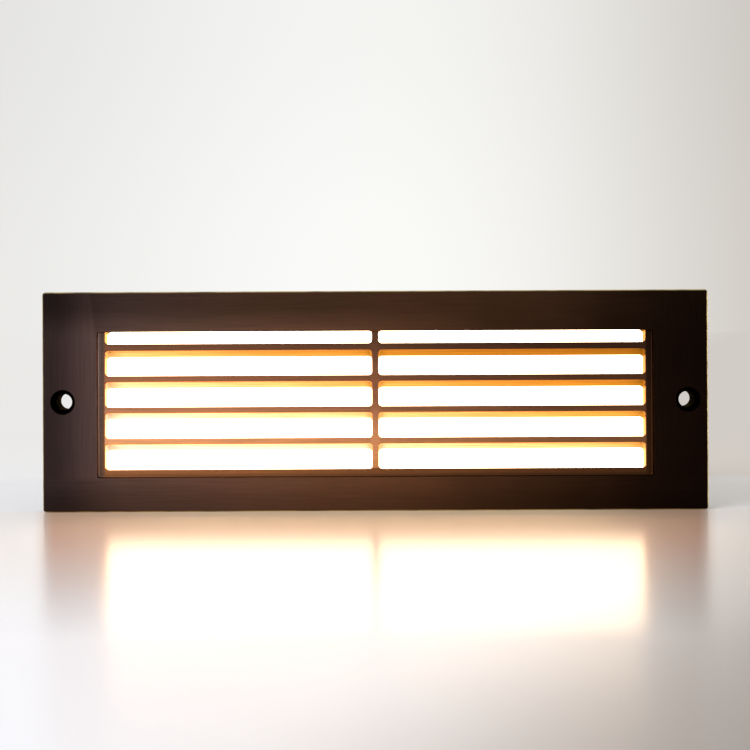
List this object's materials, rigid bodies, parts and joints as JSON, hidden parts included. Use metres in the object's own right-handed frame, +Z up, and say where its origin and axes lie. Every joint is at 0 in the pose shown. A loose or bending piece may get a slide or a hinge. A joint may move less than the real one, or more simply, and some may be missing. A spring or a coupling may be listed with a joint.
{
  "type": "step light",
  "caption": "Louvred cast-brass step light for a wall: dark bronze faceplate, frosted lens, LED engine and driver in a cast housing.",
  "frame": {"origin": "centre of the faceplate's back face, on the plane that bears on the wall", "axes": "+X along the faceplate, +Y into the wall, +Z up; the louvres face -Y"},
  "size_m": [0.235, 0.0905, 0.0776],
  "materials": {
    "bronzed_brass": "dark bronze patina, brushed",
    "frosted_glass": "acid-etched, lit from behind",
    "silicone_rubber": "moulded, matt",
    "cast_aluminium": "die cast, as cast",
    "stainless_steel": "turned",
    "zinc_plated_steel": "bright zinc",
    "plain_brass": "turned",
    "tinned_copper": "tinned",
    "white_polycarbonate": "moulded, satin",
    "aluminium_sheet": "rolled sheet",
    "grey_thermal_pad": "matt",
    "white_circuit_board": "solder resist",
    "led_phosphor": "phosphor in a white frame",
    "white_nylon": "moulded",
    "black_polycarbonate": "moulded, fine texture",
    "green_circuit_board": "solder resist",
    "potting_compound": "cast resin",
    "green_lead_sleeve": "extruded",
    "red_lead_sleeve": "extruded",
    "black_lead_sleeve": "extruded",
    "brown_lead_sleeve": "extruded",
    "blue_lead_sleeve": "extruded",
    "black_rubber": "moulded",
    "nickel_plated_brass": "nickel plate, satin"
  },
  "bodies": {
    "root": {"board_connector": "white_nylon", "body_screws": "stainless_steel", "carrier_plate": "aluminium_sheet", "carrier_screws": "zinc_plated_steel", "driver_case": "black_polycarbonate", "driver_circuit_board": "green_circuit_board", "driver_live_lead": "brown_lead_sleeve", "driver_neutral_lead": "blue_lead_sleeve", "driver_potting": "potting_compound", "driver_screws": "zinc_plated_steel", "earth_lead": "green_lead_sleeve", "earth_ring_terminal": "tinned_copper", "earth_screw": "plain_brass", "faceplate": "bronzed_brass", "front_gasket": "silicone_rubber", "gland_body": "nickel_plated_brass", "gland_locknut": "nickel_plated_brass", "gland_nut": "nickel_plated_brass", "gland_seal": "black_rubber", "gland_washer": "black_rubber", "housing": "cast_aluminium", "lead_grommet": "black_rubber", "led_board": "white_circuit_board", "led_board_screws": "zinc_plated_steel", "led_lead_negative": "black_lead_sleeve", "led_lead_positive": "red_lead_sleeve", "led_packages": "led_phosphor", "lens": "frosted_glass", "rear_gasket": "silicone_rubber", "reflector": "white_polycarbonate", "terminal_block": "white_nylon", "terminal_block_screw": "zinc_plated_steel", "terminal_clamp_screws": "zinc_plated_steel", "thermal_pad": "grey_thermal_pad"}
  },
  "joints": []
}
